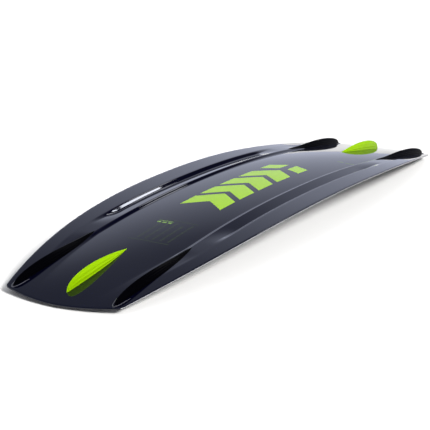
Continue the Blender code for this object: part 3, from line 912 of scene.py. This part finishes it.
def make_prints(green, grey, faint):
    """Plain marks: green chevrons and slashes, a grey frame of rules, and small faint dashes."""
    y_low, y_high = MARKS
    for number, x_span in enumerate(CHEVRONS):
        chevron(f"print_chevron_{number + 1}", x_span, MARKS, CHEVRON_LEAN, green)
    bar("print_slash_1", SLASHES, (0.004, y_high), green, -SLASH_LEAN)
    bar("print_slash_2", SLASHES, (y_low, -0.016), green, SLASH_LEAN)
    for number in range(5):
        low = -0.060 + 0.018 * number
        x_span = (-0.395, -0.300 - 0.012 * (number % 2))
        bar(f"print_rule_{number + 1}", x_span, (low, low + 0.0025), grey)
    bar("print_frame_outer", (-0.404, -0.402), FRAME, grey)
    bar("print_frame_inner", (-0.292, -0.290), FRAME, grey)
    for number in range(3):
        low = -0.010 + 0.013 * number
        bar(f"print_dash_{number + 1}", (-0.309, -0.303), (low, low + 0.009), faint)
    bar("print_dash_0", (-0.299, -0.297), (-0.010, 0.025), faint)
    bar("print_dash_4", (0.315, 0.3175), (-0.104, -0.082), faint)
    bar("print_dash_5", (0.315, 0.3175), (-0.076, -0.060), faint)


# ---- Studio --------------------------------------------------------------------------------------------

def make_floor():
    """A wide pale floor, in a collection of its own that the floor's lights are linked to."""
    bm = bmesh.new()
    bmesh.ops.create_grid(bm, x_segments=1, y_segments=1, size=FLOOR_SIZE)
    bmesh.ops.translate(bm, verts=bm.verts, vec=(0, 0, -FLOOR_DROP))
    mesh = bpy.data.meshes.new("floor")
    bm.to_mesh(mesh)
    bm.free()
    floor = bpy.data.objects.new("floor", mesh)
    bpy.context.scene.collection.objects.link(floor)
    paint = Paint("floor_white", (0.94, 0.93, 0.905), 0.9)
    paint.shader.inputs["Specular IOR Level"].default_value = 0.0
    mesh.materials.append(paint.material)
    sweep = bpy.data.collections.new("sweep")
    sweep.objects.link(floor)
    return sweep


def direction(yaw, elevation):
    """A unit vector from a yaw (from +X towards +Y) and an elevation, in degrees."""
    a, e = math.radians(yaw), math.radians(elevation)
    return Vector((math.cos(a) * math.cos(e), math.sin(a) * math.cos(e), math.sin(e)))


def likeness(tree, where, way):
    """How far each direction of the world points along a way, from -1 to 1."""
    made = tree.nodes.new("ShaderNodeVectorMath")
    made.operation = "DOT_PRODUCT"
    made.inputs[1].default_value = way
    tree.links.new(where, made.inputs[0])
    return made.outputs["Value"]


def drawn_to(tree, source, start, end, low, high, kind="LINEAR"):
    """source, start to end, drawn to low to high."""
    made = tree.nodes.new("ShaderNodeMapRange")
    made.interpolation_type = kind
    for key, value in (("From Min", start), ("From Max", end), ("To Min", low), ("To Max", high)):
        made.inputs[key].default_value = value
    tree.links.new(source, made.inputs["Value"])
    return made.outputs["Result"]


def sky_colour(tree, where):
    """The colour of the studio by the height of a direction."""
    split = tree.nodes.new("ShaderNodeSeparateXYZ")
    ramp = tree.nodes.new("ShaderNodeValToRGB")
    tree.links.new(where, split.inputs[0])
    tree.links.new(split.outputs["Z"], ramp.inputs["Fac"])
    elements = ramp.color_ramp.elements
    for number, (position, value) in enumerate(SKY):
        element = elements[number] if number < 2 else elements.new(position)
        element.position = position
        element.color = (*(value * tint for tint in SKY_TINT), 1.0)
    return ramp.outputs["Color"]


def make_world():
    """A studio bright near the floor, darker overhead and behind, with a black flag by the softboxes."""
    world = bpy.data.worlds.new("studio")
    bpy.context.scene.world = world
    world.use_nodes = True
    tree = world.node_tree
    where = tree.nodes.new("ShaderNodeTexCoord").outputs["Generated"]
    ahead = likeness(tree, where, direction(VIEW_YAW, 0.0))
    flag = likeness(tree, where, direction(*FLAG))
    inner, outer = (math.cos(math.radians(angle)) for angle in FLAG_EDGE)
    both = tree.nodes.new("ShaderNodeMath")
    both.operation = "MULTIPLY"
    tree.links.new(drawn_to(tree, ahead, *SKY_TURN, SKY_BEHIND, 1.0), both.inputs[0])
    tree.links.new(drawn_to(tree, flag, outer, inner, 1.0, FLAG_LEFT, "SMOOTHSTEP"), both.inputs[1])
    background = tree.nodes["Background"]
    tree.links.new(both.outputs["Value"], background.inputs["Strength"])
    tree.links.new(sky_colour(tree, where), background.inputs["Color"])


def make_softbox(name, yaw, elevation, width, height, power):
    """A lit panel far behind the board that the far channel mirrors."""
    light = bpy.data.lights.new(name, "AREA")
    light.shape = "RECTANGLE"
    light.size = width
    light.size_y = height
    light.energy = power
    obj = bpy.data.objects.new(name, light)
    away = direction(yaw, elevation)
    turn = away.to_track_quat("Z", "Y").to_matrix().to_4x4()
    obj.matrix_world = Matrix.Translation(away * SOFTBOX_DISTANCE) @ turn
    bpy.context.scene.collection.objects.link(obj)


def make_sun(name, yaw, elevation, strength, angle, lit):
    """A soft distant light that lights one collection, unseen in gloss. Angles are in degrees."""
    light = bpy.data.lights.new(name, "SUN")
    light.energy = strength
    light.angle = math.radians(angle)
    obj = bpy.data.objects.new(name, light)
    obj.rotation_mode = "QUATERNION"
    obj.rotation_quaternion = direction(yaw, elevation).to_track_quat("Z", "Y")
    obj.visible_glossy = False
    obj.light_linking.receiver_collection = lit
    bpy.context.scene.collection.objects.link(obj)


def make_camera():
    """A long lens, low over the tail's right corner."""
    yaw, roll = math.radians(VIEW_YAW), math.radians(VIEW_ROLL)
    forward = direction(VIEW_YAW, VIEW_PITCH)
    level = Vector((math.sin(yaw), -math.cos(yaw), 0.0))
    upright = level.cross(forward)
    right = math.cos(roll) * level + math.sin(roll) * upright
    up = math.cos(roll) * upright - math.sin(roll) * level
    camera = bpy.data.cameras.new("camera")
    camera.lens = LENS
    camera.sensor_width = SENSOR
    camera.shift_x, camera.shift_y = LENS_SHIFT
    obj = bpy.data.objects.new("camera", camera)
    turn = Matrix((right, up, -forward)).transposed().to_4x4()
    obj.matrix_world = Matrix.Translation(VIEW_FROM) @ turn
    bpy.context.scene.collection.objects.link(obj)
    bpy.context.scene.camera = obj


def finish_cad_nodes():
    """Materials for the pieces that stay as the CAD made them."""
    glass = plain("glass_laminate_cloth", (0.50, 0.55, 0.47), (0.60, 0.64, 0.56), 0.40, 900.0)
    foam = plain("core_foam_cells", (0.74, 0.70, 0.55), (0.86, 0.82, 0.68), 0.85, 1200.0)
    wood = plain("stringer_wood_grain", (0.46, 0.30, 0.15), (0.62, 0.44, 0.25), 0.60, 60.0, (0.1, 4.0, 4.0))
    block = plain("block_plastic", (0.64, 0.62, 0.54), (0.74, 0.72, 0.64), 0.55, 300.0)
    brass = brushed("brass_turned", (0.72, 0.52, 0.22), 0.30)
    steel = brushed("steel_turned", (0.62, 0.63, 0.64), 0.26)
    looks = (("laminate", glass), ("core", foam), ("stringer", wood), ("block", block), ("insert_", brass),
             ("nut", brass), ("screw", steel), ("washer", steel))
    for name, obj in frame["nodes"].items():
        for word, paint in looks:
            if word in name:
                for slot in obj.material_slots:
                    slot.material = paint
                break


def main():
    finish_cad_nodes()
    make_base_skin(base_gloss())
    make_rails(rail_pale_painted_light(), edge_painted_shade())
    make_deck_skin(deck_satin())
    make_inserts(brushed("insert_brass", (0.72, 0.52, 0.22), 0.30))
    make_fin_screws(brushed("screw_steel", (0.62, 0.63, 0.64), 0.24))
    make_fins(fin_green(), fin_black())
    # The seat beads are painted grey: a painted highlight along the seam round each side fin.
    make_fin_seats(plain("seat_painted_highlight", (0.07, 0.07, 0.08), (0.10, 0.10, 0.12), 0.30, 300.0))
    make_prints(print_green(), print_grey(), print_faint())
    sweep = make_floor()
    board = bpy.data.collections.new("board")
    for obj in bpy.context.scene.objects:
        if obj.type == "MESH" and obj.name != "floor":
            board.objects.link(obj)
    make_world()
    for softbox in SOFTBOXES:
        make_softbox(*softbox)
    for light in FLOOR_LIGHTS:
        make_sun(*light, sweep)
    make_sun(*STUDIO_LIGHT, board)
    make_camera()
    bpy.context.scene.view_settings.view_transform = "Standard"


main()
